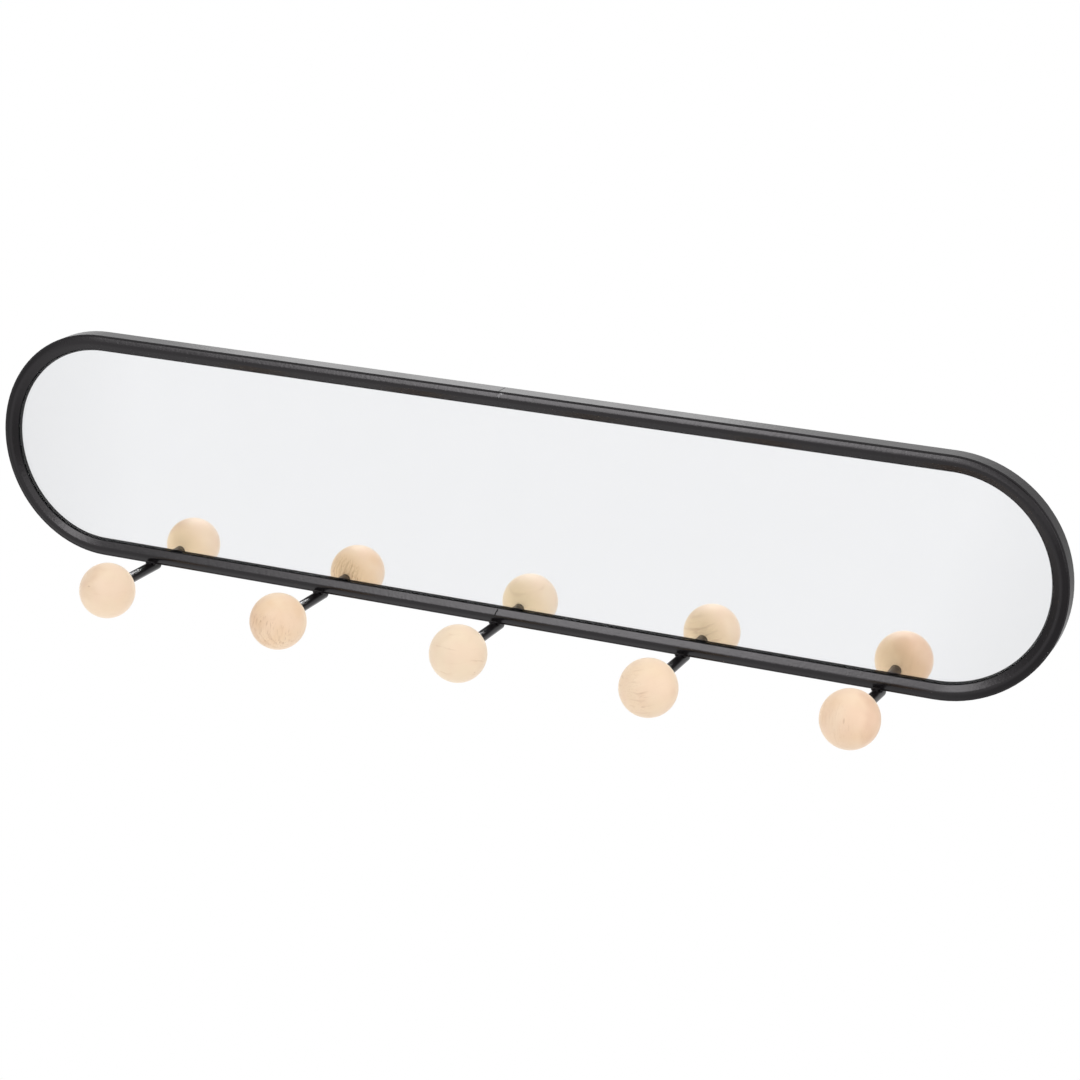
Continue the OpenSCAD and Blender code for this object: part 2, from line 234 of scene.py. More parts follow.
def maths(tree, what, a, b=0.0, c=0.0, clamp=False):
    return add(tree, "ShaderNodeMath", {0: a, 1: b, 2: c}, operation=what, use_clamp=clamp).outputs[0]


def plus(tree, a, b):
    return maths(tree, "ADD", a, b)


def times(tree, a, b):
    return maths(tree, "MULTIPLY", a, b)


def vector_maths(tree, what, a, b=(0, 0, 0)):
    made = add(tree, "ShaderNodeVectorMath", {0: a, 1: b}, operation=what)
    return made.outputs["Value" if what in ("LENGTH", "DOT_PRODUCT") else "Vector"]


def dot(tree, a, b):
    return vector_maths(tree, "DOT_PRODUCT", a, b)


def stretched(tree, place, scale):
    """The place scaled along each axis: a pattern on it is drawn out where the scale is under 1."""
    return add(tree, "ShaderNodeMapping", {"Vector": place, "Scale": scale}).outputs[0]


def spread(tree, value, low, high, to_low=0.0, to_high=1.0, soft=False):
    """Maps value from low..high to to_low..to_high, held at both ends."""
    kind = "SMOOTHSTEP" if soft else "LINEAR"
    made = add(tree, "ShaderNodeMapRange", {"Value": value, "From Min": low, "From Max": high,
               "To Min": to_low, "To Max": to_high}, interpolation_type=kind)
    return made.outputs["Result"]


def mix(tree, share, a, b, how="MIX"):
    made = tree.nodes.new("ShaderNodeMix")
    made.data_type, made.blend_type = "RGBA", how
    for number, value in ((0, share), (6, a), (7, b)):
        if isinstance(value, bpy.types.NodeSocket):
            tree.links.new(value, made.inputs[number])
        else:
            made.inputs[number].default_value = value if number == 0 else (*value, 1)
    return made.outputs[2]


def noise(tree, place, size, detail=2.0, roughness=0.5):
    """Cloudy noise whose blotches are about size metres across."""
    return add(tree, "ShaderNodeTexNoise", {"Vector": place, "Scale": 1 / size, "Detail": detail,
               "Roughness": roughness}).outputs["Fac"]


def finish(name):
    """A new material: its tree, its main shader and the place of the point being shaded."""
    made = bpy.data.materials.new(name)
    made.use_nodes = True
    tree = made.node_tree
    shader = tree.nodes["Principled BSDF"]
    place = tree.nodes.new("ShaderNodeTexCoord").outputs["Object"]
    return made, tree, shader, place


def bump(tree, shader, height, depth, under=None):
    """Joins a relief of that depth in metres to the shader, on top of another one if there is one."""
    made = add(tree, "ShaderNodeBump", {"Height": height, "Distance": depth, "Strength": 1.0})
    if under is not None:
        tree.links.new(under, made.inputs["Normal"])
    tree.links.new(made.outputs["Normal"], shader.inputs["Normal"])
    return made.outputs["Normal"]


def paint(shader, **values):
    """Sets inputs of a shader, told by their names with _ for a space."""
    for name, value in values.items():
        shader.inputs[name.replace("_", " ")].default_value = value


# ---------- finishes ----------

def ground_spots(tree, place):
    """Pale spots where the weld on the top rail was ground flush, with frayed edges."""
    fray = maths(tree, "MULTIPLY_ADD", noise(tree, place, 0.9 * MM, 2, 0.7), 1.6 * MM, -0.8 * MM)
    ground = 0.0
    for middle, squeeze, strength in GROUND_SPOTS:
        away = vector_maths(tree, "MULTIPLY", vector_maths(tree, "SUBTRACT", place, middle), squeeze)
        away = plus(tree, vector_maths(tree, "LENGTH", away), fray)
        ground = maths(tree, "MAXIMUM", ground, spread(tree, away, 1.5 * MM, 0.5 * MM, 0.0, strength))
    return ground


def paint_crack(tree, place):
    """A fine crack that runs up and to the right across the inner flank of the bottom rail."""
    parts = add(tree, "ShaderNodeSeparateXYZ", {0: place}).outputs
    x, z = parts["X"], parts["Z"]
    wander = noise(tree, place, 2.2 * MM, 2, 0.7)
    wander = times(tree, maths(tree, "SUBTRACT", wander, 0.5), 2.2 * MM)
    line = plus(tree, maths(tree, "MULTIPLY_ADD", z, CRACK_LEAN, CRACK_X - CRACK_LEAN * CRACK_Z), wander)
    beside = maths(tree, "ABSOLUTE", maths(tree, "SUBTRACT", x, line))
    between = times(tree, spread(tree, z, *CRACK_FOOT), spread(tree, z, *CRACK_HEAD))
    return times(tree, spread(tree, beside, *CRACK_EDGE), between)


def powder_coat(name, low=0.20, high=0.28, peel=80e-6, marked=False):
    """Satin black powder coat: a soft orange peel over a finer grain, with a little dust in it.

    low and high are its roughness, peel the depth of the orange peel. Marked, it shows the two butt seams.
    """
    made, tree, shader, place = finish(name)
    cloud = noise(tree, place, 30 * MM, 3)
    grain = noise(tree, place, 0.35 * MM, 2, 0.6)
    waves = noise(tree, place, 2.0 * MM, 1, 0.5)
    specks = spread(tree, noise(tree, place, 0.5 * MM, 1), 0.72, 0.80)
    clouded, dusty = (tuple(lift * c for c in COAT_BLACK) for lift in (1.35, 2.1))
    tone = mix(tree, spread(tree, cloud, 0.35, 0.70), COAT_BLACK, clouded)
    tone = mix(tree, times(tree, specks, 0.5), tone, dusty)
    rough = plus(tree, times(tree, cloud, 0.6), times(tree, waves, 0.4))
    rough = spread(tree, rough, 0.3, 0.7, low, high)
    if marked:
        ground, crack = ground_spots(tree, place), paint_crack(tree, place)
        tone = mix(tree, crack, mix(tree, ground, tone, COAT_GROUND), (0.001, 0.001, 0.001))
        rough = plus(tree, rough, plus(tree, times(tree, crack, 0.6), times(tree, ground, 0.25)))
    tree.links.new(tone, shader.inputs["Base Color"])
    tree.links.new(rough, shader.inputs["Roughness"])
    relief = bump(tree, shader, waves, peel)
    bump(tree, shader, grain, 5e-6, relief)
    paint(shader, IOR=1.46, Specular_Tint=(1.0, 0.97, 1.0, 1.0))
    return made


def rod_coat():
    """The coat on the rods: a clear smooth skin over a satin ground, with a crisp streak of light."""
    made = powder_coat("satin black rod coat", low=0.38, high=0.44, peel=2e-6)
    shader = made.node_tree.nodes["Principled BSDF"]
    paint(shader, IOR=1.36, Coat_Weight=0.75, Coat_Roughness=0.08, Coat_IOR=1.5)
    return made


def float_glass():
    """Clear glass with the faintest haze and waves."""
    made, tree, shader, place = finish("clear float glass")
    haze = noise(tree, place, 40 * MM, 2)
    tree.links.new(spread(tree, haze, 0.3, 0.7, 0.0, 0.006), shader.inputs["Roughness"])
    tint = mix(tree, haze, (0.988, 0.993, 0.996), (0.993, 0.996, 0.998))
    tree.links.new(tint, shader.inputs["Base Color"])
    bump(tree, shader, noise(tree, place, 90 * MM, 1), 2e-6)
    paint(shader, IOR=1.5, Transmission_Weight=1.0)
    return made


def silver():
    """The silvered back of the glass."""
    made, tree, shader, place = finish("silver")
    cloud = noise(tree, place, 60 * MM, 2)
    tone = mix(tree, cloud, (0.955, 0.955, 0.965), (0.97, 0.97, 0.98))
    tree.links.new(tone, shader.inputs["Base Color"])
    tree.links.new(spread(tree, cloud, 0.3, 0.7, 0.0, 0.008), shader.inputs["Roughness"])
    paint(shader, Metallic=1.0)
    return made


def backing_paint():
    """The grey paint that seals the silver behind."""
    made, tree, shader, place = finish("grey backing paint")
    grain = noise(tree, place, 2 * MM, 3)
    tone = mix(tree, grain, (0.17, 0.19, 0.20), (0.24, 0.26, 0.27))
    tree.links.new(tone, shader.inputs["Base Color"])
    tree.links.new(spread(tree, grain, 0.3, 0.7, 0.45, 0.6), shader.inputs["Roughness"])
    bump(tree, shader, grain, 20e-6)
    return made


def painted_gap_shade():
    """Near-black matt paint on the silver's border beside the bar and on the bar's nose: painted shade for
    the dark gap between the bar and the glass.
    """
    made, tree, shader, place = finish("black painted gap shade")
    grain = noise(tree, place, 1.5 * MM, 3)
    tone = mix(tree, grain, (0.004, 0.004, 0.005), (0.009, 0.009, 0.011))
    tree.links.new(tone, shader.inputs["Base Color"])
    tree.links.new(spread(tree, grain, 0.3, 0.7, 0.7, 0.85), shader.inputs["Roughness"])
    bump(tree, shader, grain, 15e-6)
    paint(shader, IOR=1.3)
    return made


def fibreboard():
    """Raw brown board, clouded and fluffy, with pale and dark fibres on a slant."""
    made, tree, shader, place = finish("raw fibreboard")
    fluff = noise(tree, place, 0.7 * MM, 4, 0.65)
    cloud = noise(tree, place, 25 * MM, 3)
    slanted = add(tree, "ShaderNodeMapping", {"Vector": place, "Scale": (0.25, 1, 1),
                  "Rotation": (0, 0.4, 0)})
    hairs = noise(tree, slanted.outputs[0], 0.5 * MM)
    tone = mix(tree, spread(tree, fluff, 0.3, 0.7), (0.25, 0.155, 0.085), (0.42, 0.29, 0.175))
    tone = mix(tree, spread(tree, cloud, 0.4, 0.65, 0, 0.45), tone, (0.30, 0.19, 0.11))
    tone = mix(tree, spread(tree, hairs, 0.64, 0.72, 0, 0.6), tone, (0.55, 0.42, 0.28))
    tone = mix(tree, spread(tree, hairs, 0.34, 0.28, 0, 0.7), tone, (0.13, 0.08, 0.045))
    tree.links.new(tone, shader.inputs["Base Color"])
    tree.links.new(spread(tree, fluff, 0.3, 0.7, 0.62, 0.8), shader.inputs["Roughness"])
    bump(tree, shader, fluff, 60e-6)
    return made


def foam_tape():
    """White foam with its cells."""
    made, tree, shader, place = finish("white foam tape")
    size = 0.45 * MM
    cells = add(tree, "ShaderNodeTexVoronoi", {"Vector": place, "Scale": 1 / size}).outputs["Distance"]
    tone = mix(tree, spread(tree, cells, 0.1, 0.8), (0.80, 0.80, 0.78), (0.66, 0.66, 0.63))
    tree.links.new(tone, shader.inputs["Base Color"])
    tree.links.new(spread(tree, cells, 0, 1, 0.7, 0.9), shader.inputs["Roughness"])
    bump(tree, shader, cells, -90e-6)
    return made


def zinc():
    """Bright zinc, frosted, with a yellow cast in clouds."""
    made, tree, shader, place = finish("bright zinc")
    frost = noise(tree, place, 0.3 * MM, 3, 0.6)
    cloud = noise(tree, place, 2.5 * MM, 2)
    tone = mix(tree, spread(tree, cloud, 0.35, 0.65), (0.62, 0.63, 0.64), (0.70, 0.67, 0.58))
    tone = mix(tree, spread(tree, frost, 0.3, 0.7), tone, (0.50, 0.51, 0.54))
    tree.links.new(tone, shader.inputs["Base Color"])
    tree.links.new(spread(tree, frost, 0.3, 0.7, 0.22, 0.42), shader.inputs["Roughness"])
    bump(tree, shader, frost, 6e-6)
    paint(shader, Metallic=1.0)
    return made


def as_seen(right, up, near=0.0):
    """A direction told as the photograph shows it: to the right, up and towards the viewer."""
    return right * VIEW_RIGHT + up * VIEW_UP + near * VIEW_BACK


def log_turn(rays, grain):
    """The turn from a ball's own axes to its log's: x along the rays and z along the grain."""
    grain = as_seen(*grain).normalized()
    rays = as_seen(*rays)
    rays = (rays - rays.dot(grain) * grain).normalized()
    return tuple(Matrix((rays, grain.cross(rays), grain)).to_euler())


def late_wood(tree, log, pitch):
    """The dark outer side of each growth ring, which sways a little along the log."""
    parts = add(tree, "ShaderNodeSeparateXYZ", {0: log}).outputs
    squares = [maths(tree, "POWER", parts[axis], 2.0) for axis in ("X", "Y")]
    far = maths(tree, "SQRT", plus(tree, *squares))
    sway = noise(tree, stretched(tree, log, (1, 1, 0.45)), 13 * MM, 2)
    far = plus(tree, far, spread(tree, sway, 0.2, 0.8, -2.6 * MM, 2.6 * MM))
    across = maths(tree, "FRACT", maths(tree, "DIVIDE", far, pitch))
    darkening = spread(tree, across, 1 - 1.6 * MM / pitch, 1 - 0.4 * MM / pitch, soft=True)
    return times(tree, darkening, spread(tree, across, 1.0, 1 - 0.3 * MM / pitch))


def single_pore(tree, local, turn, right, up):
    """One dark pore on the front of a ball, drawn out along the grain."""
    near = math.sqrt(BALL_RADIUS ** 2 - right ** 2 - up ** 2)
    away = vector_maths(tree, "SUBTRACT", local, as_seen(right, up, near))
    away = add(tree, "ShaderNodeMapping", {"Vector": away, "Rotation": turn}).outputs[0]
    away = vector_maths(tree, "LENGTH", vector_maths(tree, "MULTIPLY", away, (1, 1, 0.3)))
    return spread(tree, away, 0.75 * MM, 0.35 * MM, 0.0, 0.32)


def beech(name, middle, look):
    """Pale sanded beech of the ball with that middle, after its look in BALL_LOOKS."""
    made, tree, shader, place = finish(name)
    local = vector_maths(tree, "SUBTRACT", place, middle)
    forward = dot(tree, local, VIEW_BACK)
    turn = log_turn(look["rays"], look["grain"])
    log = add(tree, "ShaderNodeMapping", {"Vector": local, "Location": (look["pith"], 0, 0),
              "Rotation": turn}).outputs[0]
    fibres = stretched(tree, log, (1, 1, 0.11))
    patches = maths(tree, "MULTIPLY_ADD", noise(tree, log, 12 * MM, 1), 24 * MM, -12 * MM)

    # The figure shows on one side of the front, in patches, and all over the back
    on_back = spread(tree, forward, -4 * MM, -12 * MM)
    where = plus(tree, dot(tree, local, as_seen(*look["toward"])), patches)
    where = spread(tree, where, -4 * MM, 9 * MM, 0.12, 1.0, soft=True)
    where = maths(tree, "MAXIMUM", where, times(tree, on_back, look["figured"]))
    unbroken = maths(tree, "MAXIMUM", spread(tree, noise(tree, log, 9 * MM, 1), 0.44, 0.54), on_back)
    rings = times(tree, late_wood(tree, log, look["pitch"]), unbroken)
    rings = times(tree, rings, times(tree, where, look["rings"]))
    pores = spread(tree, noise(tree, fibres, 0.75 * MM, 1, 0.5), 0.62, 0.70)
    pores = times(tree, pores, times(tree, where, look["pores"]))
    pores = maths(tree, "MAXIMUM", pores, single_pore(tree, local, turn, *look["mark"]))
    streaks = noise(tree, fibres, 1.2 * MM, 3, 0.6)
    streaked = times(tree, spread(tree, streaks, 0.45, 0.75), times(tree, where, 0.16 + 0.45 * look["pores"]))

    cloud = spread(tree, noise(tree, log, 17 * MM, 2), 0.32, 0.66)
    blush = spread(tree, noise(tree, local, 21 * MM, 1), 0.42, 0.62, 0.0, 0.6)
    tone = mix(tree, times(tree, cloud, look["warm"]), BEECH_PALE, BEECH_TAN)
    tone = mix(tree, blush, tone, BEECH_ROSE)
    # Painted shade: the back of each ball, which faces the mirror, turns darker and warmer
    tone = mix(tree, spread(tree, forward, 2 * MM, -12 * MM, 0.0, 0.9), tone, BEECH_BACK_SHADE)
    for share, darker in ((streaked, BEECH_STREAK), (rings, BEECH_RING), (pores, BEECH_PORE)):
        tone = mix(tree, share, tone, darker)
    # Each ball's own tint on its front, and a darker, warmer painted shade on its back
    tint_and_back_shade = mix(tree, spread(tree, forward, 4 * MM, -8 * MM), look["front"], look["back"])
    tone = mix(tree, 1.0, tone, tint_and_back_shade, "MULTIPLY")
    deeper = plus(tree, dot(tree, local, as_seen(*look["deep"])), patches)
    tone = mix(tree, spread(tree, deeper, 0.0, 18 * MM, soft=True), tone, BEECH_DEEP, "MULTIPLY")
    tree.links.new(tone, shader.inputs["Base Color"])
    tree.links.new(spread(tree, streaks, 0.3, 0.7, 0.50, 0.60), shader.inputs["Roughness"])
    relief = bump(tree, shader, streaks, 14e-6)
    bump(tree, shader, pores, -18e-6, relief)
    paint(shader, IOR=1.45, Sheen_Weight=0.80, Sheen_Roughness=0.35, Sheen_Tint=(1.0, 0.93, 0.84, 1.0))
    return made


# ---------- pieces that follow a path or repeat ----------

def new_tree(name, **sizes):
    """A geometry tree with a geometry input and a named input for each size."""
    tree = bpy.data.node_groups.new(name, "GeometryNodeTree")
    tree.interface.new_socket("Geometry", in_out="INPUT", socket_type="NodeSocketGeometry")
    for label, kind in sizes.items():
        tree.interface.new_socket(label.replace("_", " "), in_out="INPUT", socket_type="NodeSocket" + kind)
    tree.interface.new_socket("Geometry", in_out="OUTPUT", socket_type="NodeSocketGeometry")
    return tree, tree.nodes.new("NodeGroupInput").outputs


def end_tree(tree, shape, material, sharp=0.6):
    """Smooth faces with sharp corners, real geometry and the finish: how every tree here ends."""
    merged = add(tree, "GeometryNodeMergeByDistance", {"Geometry": shape, "Distance": 1e-6})
    smooth = add(tree, "GeometryNodeSetShadeSmooth", {"Geometry": merged.outputs[0], "Shade Smooth": True})
    angle = add(tree, "GeometryNodeInputMeshEdgeAngle").outputs["Unsigned Angle"]
    at_corner = maths(tree, "GREATER_THAN", angle, sharp)
    corner = add(tree, "GeometryNodeSetShadeSmooth", {"Geometry": smooth.outputs[0], "Selection": at_corner,
                 "Shade Smooth": False}, domain="EDGE")
    real = add(tree, "GeometryNodeRealizeInstances", {"Geometry": corner.outputs[0]})
    coated = add(tree, "GeometryNodeSetMaterial", {"Geometry": real.outputs[0], "Material": material})
    tree.links.new(coated.outputs[0], add(tree, "NodeGroupOutput").inputs[0])


def grow(name, tree, guide, **values):
    """Runs a tree on a guide mesh and returns its result as a plain mesh object."""
    carrier = bpy.data.objects.new(name + "_guide", guide)
    bpy.context.scene.collection.objects.link(carrier)
    modifier = carrier.modifiers.new("shape", "NODES")
    modifier.node_group = tree
    sockets = {s.name: s.identifier for s in tree.interface.items_tree if s.in_out == "INPUT"}
    for label, value in values.items():
        modifier[sockets[label.replace("_", " ")]] = value
    bpy.context.view_layer.update()
    evaluated = carrier.evaluated_get(bpy.context.evaluated_depsgraph_get())
    mesh = bpy.data.meshes.new_from_object(evaluated)
    mesh.name = name
    bpy.data.objects.remove(carrier)
    piece = bpy.data.objects.new(name, mesh)
    bpy.context.scene.collection.objects.link(piece)
    return piece


def guide_mesh(name, points, lines=(), facing=None):
    """The points that a tree works from, joined by lines, each with a turn in facing if one is given."""
    mesh = bpy.data.meshes.new(name)
    mesh.from_pydata([tuple(p) for p in points], list(lines), [])
    if facing is not None:
        held = mesh.attributes.new("facing", "FLOAT_VECTOR", "POINT")
        for number, angle in enumerate(facing):
            held.data[number].vector = angle
    return mesh


def closed_line(name, points):
    """A closed flat curve object, used as the section that a tree sweeps."""
    curve = bpy.data.curves.new(name, "CURVE")
    curve.dimensions = "2D"
    curve.fill_mode = "NONE"
    spline = curve.splines.new("POLY")
    spline.points.add(len(points) - 1)
    for spot, (x, y) in zip(spline.points, points):
        spot.co = (x, y, 0, 1)
    spline.use_cyclic_u = True
    made = bpy.data.objects.new(name, curve)
    bpy.context.scene.collection.objects.link(made)
    return made


def flank_slope(across, edge):
    """Slope of the flank that runs up from an edge of the bar and touches the round ridge."""
    rise = BAR_HEIGHT - RIDGE_RADIUS - edge
    return math.atan2(rise, across) + math.asin(RIDGE_RADIUS / math.hypot(across, rise))


def arc_points(middle, radius, start, end, steps):
    """Points on an arc. Angles are leans from straight up, positive towards +x."""
    return [(middle[0] + radius * math.sin(a), middle[1] + radius * math.cos(a))
            for a in (start + (end - start) * step / steps for step in range(steps + 1))]


def ridged_points():
    """Section of the bar, with two unequal flanks and a round ridge.

    x runs from its outer edge inwards and y up from its flat back.
    """
    outer, inner = (flank_slope(*side) for side in
                    ((RIDGE_PLACE, BAR_OUTER_EDGE), (BAR_WIDTH - RIDGE_PLACE, BAR_INNER_EDGE)))
    ends = [(r, edge + r * math.tan(slope) - r / math.cos(slope)) for r, slope, edge in
            ((OUTER_EDGE_RADIUS, outer, BAR_OUTER_EDGE), (INNER_EDGE_RADIUS, inner, BAR_INNER_EDGE))]
    points = [(0.0, 0.0), (0.0, ends[0][1] * 0.5)]
    points += arc_points(ends[0], OUTER_EDGE_RADIUS, -math.pi / 2, -outer, OUTER_EDGE_STEPS)
    points += arc_points((RIDGE_PLACE, BAR_HEIGHT - RIDGE_RADIUS), RIDGE_RADIUS, -outer, inner, RIDGE_STEPS)
    points.append((BAR_WIDTH - NOSE_WIDTH, BAR_INNER_EDGE + NOSE_WIDTH * math.tan(inner)))
    points += arc_points((BAR_WIDTH - ends[1][0], ends[1][1]), INNER_EDGE_RADIUS, inner, math.pi / 2,
                         INNER_EDGE_STEPS)
    return points + [(BAR_WIDTH, 0.0)]


def bar_tree():
    """Sweeps a section round one half of the frame, from one butt seam to the other."""
    tree, given = new_tree("ridged bar", Section="Object", Middle_Length="Float", Middle_Height="Float",
                           Seam="Float", Level="Float", End_Points="Int", Paint="Material")
    reach = times(tree, given["Middle Length"], 0.5)
    rise = times(tree, given["Middle Height"], 0.5)
    start = times(tree, given["Seam"], 0.5)
    drop = times(tree, rise, -1.0)
    corners = [add(tree, "ShaderNodeCombineXYZ", {0: x, 1: y, 2: given["Level"]}).outputs[0]
               for x, y in ((start, drop), (reach, drop), (reach, rise), (start, rise))]
    path = add(tree, "GeometryNodeCurvePrimitiveQuadrilateral", mode="POINTS")
    for number, corner in enumerate(corners):
        tree.links.new(corner, path.inputs["Point %d" % (number + 1)])
    opened = add(tree, "GeometryNodeSetSplineCyclic", {"Geometry": path.outputs[0], "Cyclic": False})
    rounded = add(tree, "GeometryNodeFilletCurve", {"Curve": opened.outputs[0], "Radius": rise,
                  "Limit Radius": True, "Count": given["End Points"]}, mode="POLY")
    level = add(tree, "GeometryNodeSetCurveNormal", {"Curve": rounded.outputs[0]}, mode="Z_UP")
    section = add(tree, "GeometryNodeObjectInfo", {"Object": given["Section"]}).outputs["Geometry"]
    swept = add(tree, "GeometryNodeCurveToMesh", {"Curve": level.outputs[0], "Profile Curve": section,
                "Fill Caps": True})
    end_tree(tree, swept.outputs[0], given["Paint"], sharp=0.5)
    return tree


def screw_tree():
    """A pan-head screw with a crossed recess, set on every guide point and turned by chance."""
    tree, given = new_tree("pan-head screws", Outline="Object", Path_Radius="Float", Slot_Length="Float",
                           Slot_Width="Float", Slot_Depth="Float", Head_Height="Float", Seed="Int",
                           Metal="Material")
    ring = add(tree, "GeometryNodeCurvePrimitiveCircle", {"Resolution": 40, "Radius": given["Path Radius"]})
    outline = add(tree, "GeometryNodeObjectInfo", {"Object": given["Outline"]}).outputs["Geometry"]
    level = add(tree, "GeometryNodeSetCurveNormal", {"Curve": ring.outputs["Curve"]}, mode="Z_UP")
    turned = add(tree, "GeometryNodeCurveToMesh", {"Curve": level.outputs[0], "Profile Curve": outline})
    body = add(tree, "GeometryNodeMergeByDistance", {"Geometry": turned.outputs[0], "Distance": 2e-6})
    size = add(tree, "ShaderNodeCombineXYZ", {0: given["Slot Length"], 1: given["Slot Width"],
               2: times(tree, given["Slot Depth"], 2.0)}).outputs[0]
    slot = add(tree, "GeometryNodeMeshCube", {"Size": size})
    lift = add(tree, "ShaderNodeCombineXYZ", {2: given["Head Height"]}).outputs[0]
    slots = [add(tree, "GeometryNodeTransform", {"Geometry": slot.outputs[0], "Translation": lift,
             "Rotation": (0, 0, angle)}).outputs[0] for angle in (0, math.pi / 2)]
    cut = add(tree, "GeometryNodeMeshBoolean", {"Mesh 1": body.outputs[0]}, operation="DIFFERENCE",
              solver="EXACT")
    for piece in slots:
        tree.links.new(piece, cut.inputs["Mesh 2"])
    facing = add(tree, "GeometryNodeInputNamedAttribute", {"Name": "facing"}, data_type="FLOAT_VECTOR")
    chance = add(tree, "FunctionNodeRandomValue", {"Max": (0, 0, math.pi / 2), "Seed": given["Seed"]},
                 data_type="FLOAT_VECTOR")
    turn = vector_maths(tree, "ADD", facing.outputs[0], chance.outputs[0])
    placed = add(tree, "GeometryNodeInstanceOnPoints", {"Points": given["Geometry"],
                 "Instance": cut.outputs[0], "Rotation": turn})
    end_tree(tree, placed.outputs[0], given["Metal"])
    return tree


def bead_tree():
    """A weld bead along every guide line: a rippled round run that tapers at both ends."""
    tree, given = new_tree("weld beads", Bead_Radius="Float", Ripple_Pitch="Float", Ripple_Depth="Float",
                           Wander="Float", Taper="Float", Seed="Float", Paint="Material")
    curve = add(tree, "GeometryNodeMeshToCurve", {"Mesh": given["Geometry"]})
    dense = add(tree, "GeometryNodeResampleCurve", {"Curve": curve.outputs[0], "Length": BEAD_STEP},
                mode="LENGTH")
    along = add(tree, "GeometryNodeSplineParameter").outputs["Length"]
    total = add(tree, "GeometryNodeSplineLength").outputs["Length"]
    place = add(tree, "GeometryNodeInputPosition").outputs[0]
    drift = add(tree, "ShaderNodeTexNoise", {"Vector": place, "W": given["Seed"], "Scale": BEAD_WANDER_SCALE,
                "Detail": 1.0}, noise_dimensions="4D").outputs["Fac"]
    wave = maths(tree, "FRACT", maths(tree, "DIVIDE", along, given["Ripple Pitch"]))
    wave = maths(tree, "SINE", times(tree, wave, math.pi))
    ripple = plus(tree, times(tree, wave, given["Ripple Depth"]), times(tree, drift, given["Wander"]))
    to_end = maths(tree, "MINIMUM", along, maths(tree, "SUBTRACT", total, along))
    tip = maths(tree, "SUBTRACT", 1.0, maths(tree, "DIVIDE", to_end, given["Taper"], clamp=True))
    taper = maths(tree, "SQRT", maths(tree, "SUBTRACT", 1.0, maths(tree, "POWER", tip, 2.0)))
    thick = times(tree, plus(tree, BEAD_BASE, ripple), maths(tree, "MAXIMUM", taper, BEAD_TIP))
    sized = add(tree, "GeometryNodeSetCurveRadius", {"Curve": dense.outputs[0], "Radius": thick})
    ring = add(tree, "GeometryNodeCurvePrimitiveCircle", {"Resolution": 20, "Radius": given["Bead Radius"]})
    run = add(tree, "GeometryNodeCurveToMesh", {"Curve": sized.outputs[0],
              "Profile Curve": ring.outputs["Curve"], "Scale": thick, "Fill Caps": True})
    end_tree(tree, run.outputs[0], given["Paint"], sharp=1.2)
    return tree


def at_lug(inwards, height):
    """Ten places with a turn, one per lug: inwards from the outer edge, and how far off the wall."""
    reach, rise = FRAME_LENGTH / 2 - inwards, FRAME_HEIGHT / 2 - inwards
    places = [((x, rise, height), -math.pi / 2) for x in LUGS_ON_TOP]
    places += [((x, -rise, height), math.pi / 2) for x in LUGS_ON_BOTTOM]
    return places + [((-reach, 0, height), 0.0), ((reach, 0, height), math.pi)]


def stand_up(piece):
    """Hangs a piece drawn on the bench, with its place in its mesh, and turns its faces outwards."""
    piece.data.transform(HANG)
    bpy.context.view_layer.objects.active = piece
    for other in bpy.context.selected_objects:
        other.select_set(False)
    piece.select_set(True)
    bpy.ops.object.mode_set(mode="EDIT")
    bpy.ops.mesh.select_all(action="SELECT")
    bpy.ops.mesh.normals_make_consistent(inside=False)
    bpy.ops.object.mode_set(mode="OBJECT")
    return piece


def settle(piece, slot, *nodes):
    """Puts a finished piece on the one body, in place of its CAD nodes."""
    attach(piece, "root")
    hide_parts(*nodes)


def make_bezel(coat, nose_shade):
    """Both halves of the bar that covers the edge of the glass."""
    section = closed_line("bar section", [(BAR_WIDTH / 2 - inwards, -up) for inwards, up in ridged_points()])
    tree = bar_tree()
    inset = BAR_INSET + BAR_WIDTH / 2
    for name, side in (("bezel_left", -1), ("bezel_right", 1)):
        piece = grow(name + "_bar", tree, guide_mesh(name + " start", [(0, 0, 0)]), Section=section,
                     Middle_Length=FRAME_LENGTH - 2 * inset, Middle_Height=FRAME_HEIGHT - 2 * inset,
                     Seam=SEAM_WIDTH, Level=BAR_BACK, End_Points=BAR_END_POINTS, Paint=coat)
        if side < 0:
            piece.data.transform(Matrix.Scale(-1, 4, (1, 0, 0)))
        # The nose faces, up to NOSE_HEIGHT off the bar's back, take the near-black painted shade of the gap
        piece.data.materials.append(nose_shade)
        for face in piece.data.polygons:
            if face.center.z < BAR_BACK + NOSE_HEIGHT:
                face.material_index = 1
        settle(stand_up(piece), "bezel_paint", name)
    bpy.data.objects.remove(section)


